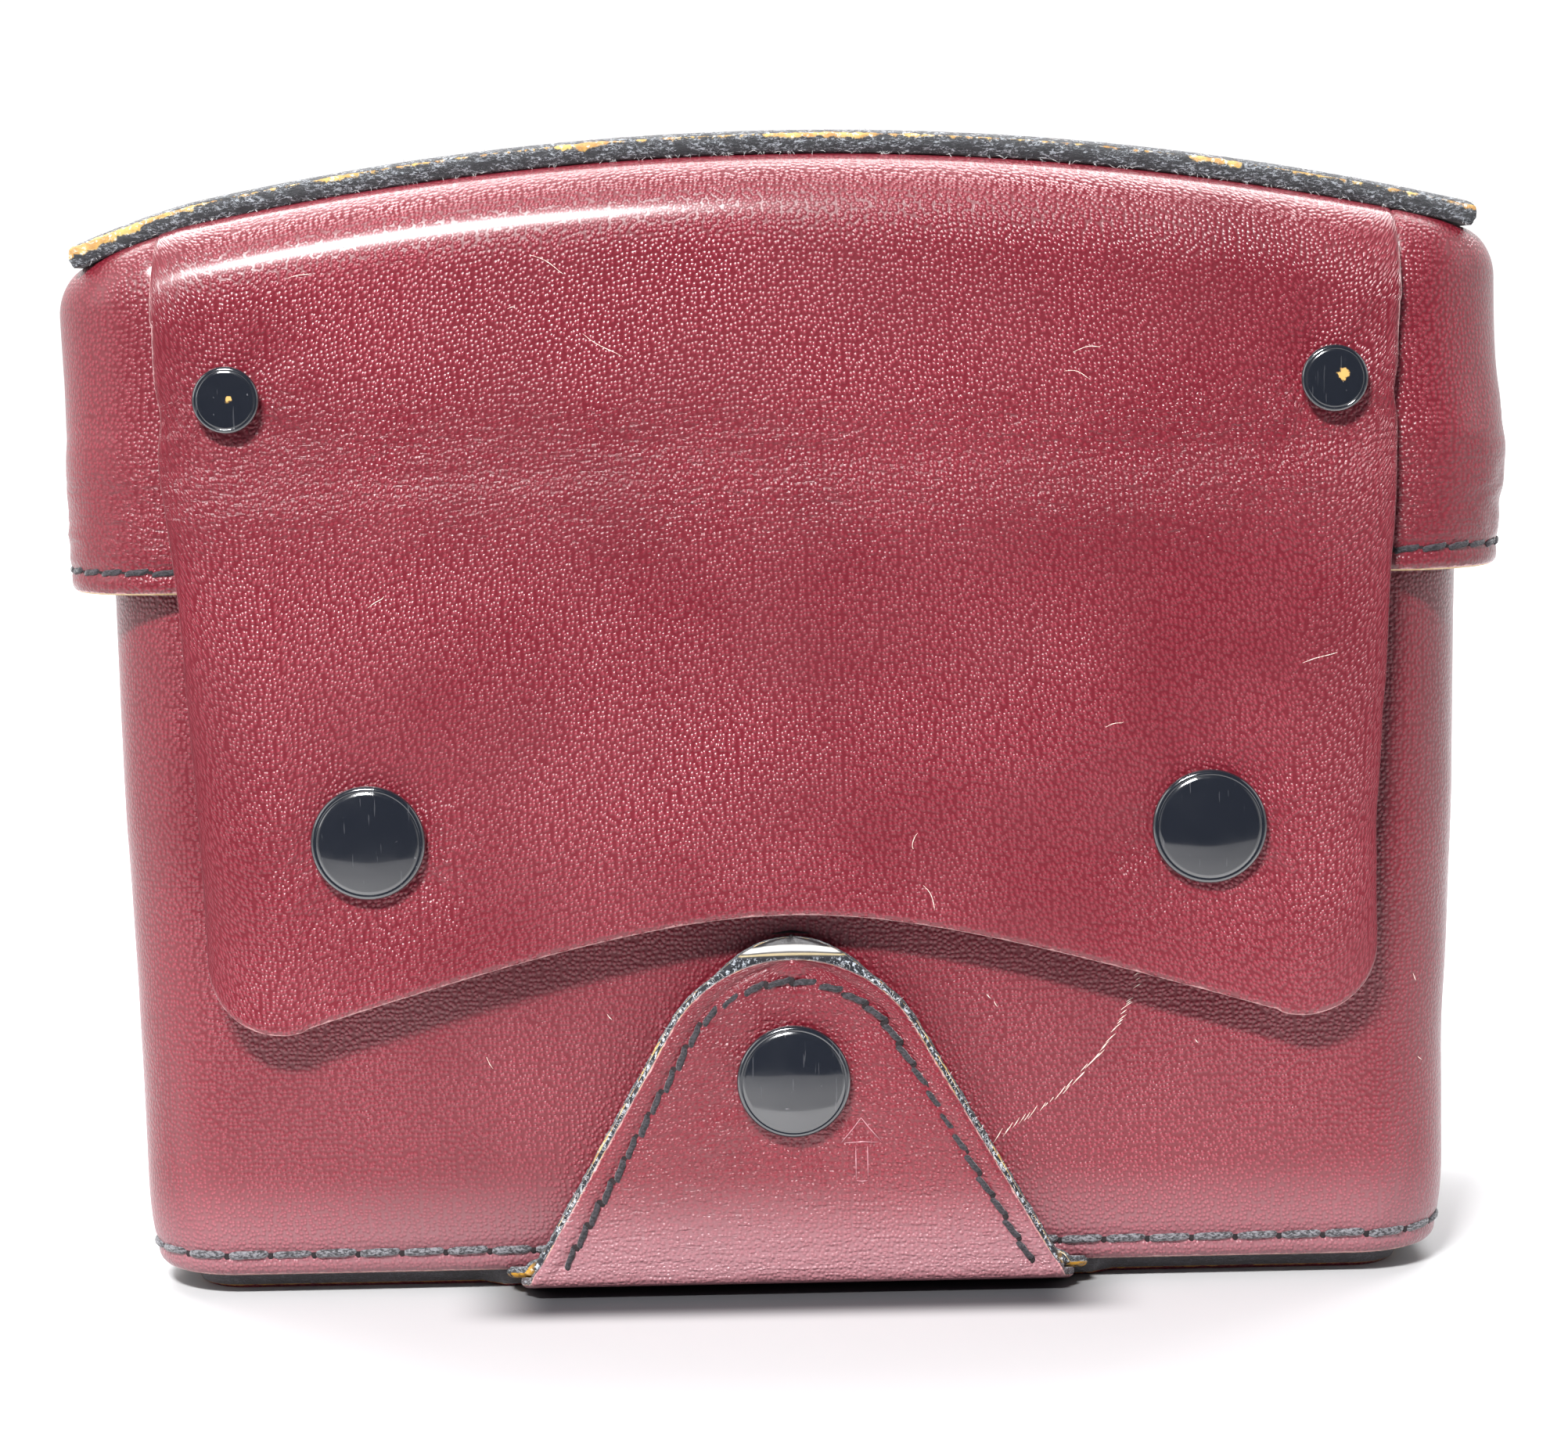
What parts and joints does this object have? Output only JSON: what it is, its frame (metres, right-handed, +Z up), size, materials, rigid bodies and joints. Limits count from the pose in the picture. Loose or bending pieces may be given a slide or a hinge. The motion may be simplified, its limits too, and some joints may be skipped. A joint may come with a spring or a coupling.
{
  "type": "leather ever ready case",
  "caption": "Burgundy leather camera case with an arched lid, riveted front flap closing on snaps, and a base tongue that snaps up onto the front.",
  "frame": {"origin": "centre of the footprint, on the surface the case stands on", "axes": "+Z up, front of the case with the flap faces -Y, +X to the right seen from the front"},
  "size_m": [0.1598, 0.0658, 0.128],
  "materials": {
    "burgundy_leather": "glossy pebble-grain oxblood leather",
    "spine_leather": "thick oxblood leather with black-dyed cut edges",
    "lining_cloth": "short dark flock",
    "black_enamel": "gloss black enamel",
    "nickel_plate": "aged nickel plate",
    "seam_thread": "waxed dark grey thread"
  },
  "bodies": {
    "body": {"body_shell": "burgundy_leather", "body_lining": "lining_cloth", "back_panel": "spine_leather", "body_hem_thread": "seam_thread", "snap_stud_left": "nickel_plate", "snap_stud_right": "nickel_plate", "snap_stud_tab": "nickel_plate", "stud_post_left": "nickel_plate", "stud_post_right": "nickel_plate", "stud_post_tab": "nickel_plate"},
    "lid": {"top_panel": "spine_leather", "lid_skirt": "burgundy_leather", "lid_lining": "lining_cloth", "lid_hem_thread": "seam_thread", "flap_root": "burgundy_leather", "rivet_cap_left": "black_enamel", "rivet_cap_right": "black_enamel", "rivet_post_left": "nickel_plate", "rivet_post_right": "nickel_plate"},
    "flap": {"front_flap": "burgundy_leather", "snap_cap_left": "black_enamel", "snap_cap_right": "black_enamel", "snap_socket_left": "nickel_plate", "snap_socket_right": "nickel_plate"},
    "base": {"base_panel": "spine_leather", "base_lining": "lining_cloth"},
    "tab": {"tab_backing": "spine_leather", "tab_cover": "burgundy_leather", "tab_thread": "seam_thread", "snap_cap_tab": "black_enamel", "snap_socket_tab": "nickel_plate"}
  },
  "joints": [
    {"name": "lid_hinge", "type": "hinge", "parent": "body", "child": "lid", "pos_m": [0, 0.03285, 0.091], "axis": [-1, 0, 0], "range_deg": [0, 120]},
    {"name": "flap_fold", "type": "hinge", "parent": "lid", "child": "flap", "pos_m": [0, -0.03055, 0.0935], "axis": [-1, 0, 0], "range_deg": [0, 120]},
    {"name": "base_hinge", "type": "hinge", "parent": "body", "child": "base", "pos_m": [0, 0.03285, 0.00245], "axis": [1, 0, 0], "range_deg": [0, 90]},
    {"name": "tab_fold", "type": "hinge", "parent": "base", "child": "tab", "pos_m": [0, -0.02705, 0.00245], "axis": [1, 0, 0], "range_deg": [0, 90]}
  ]
}
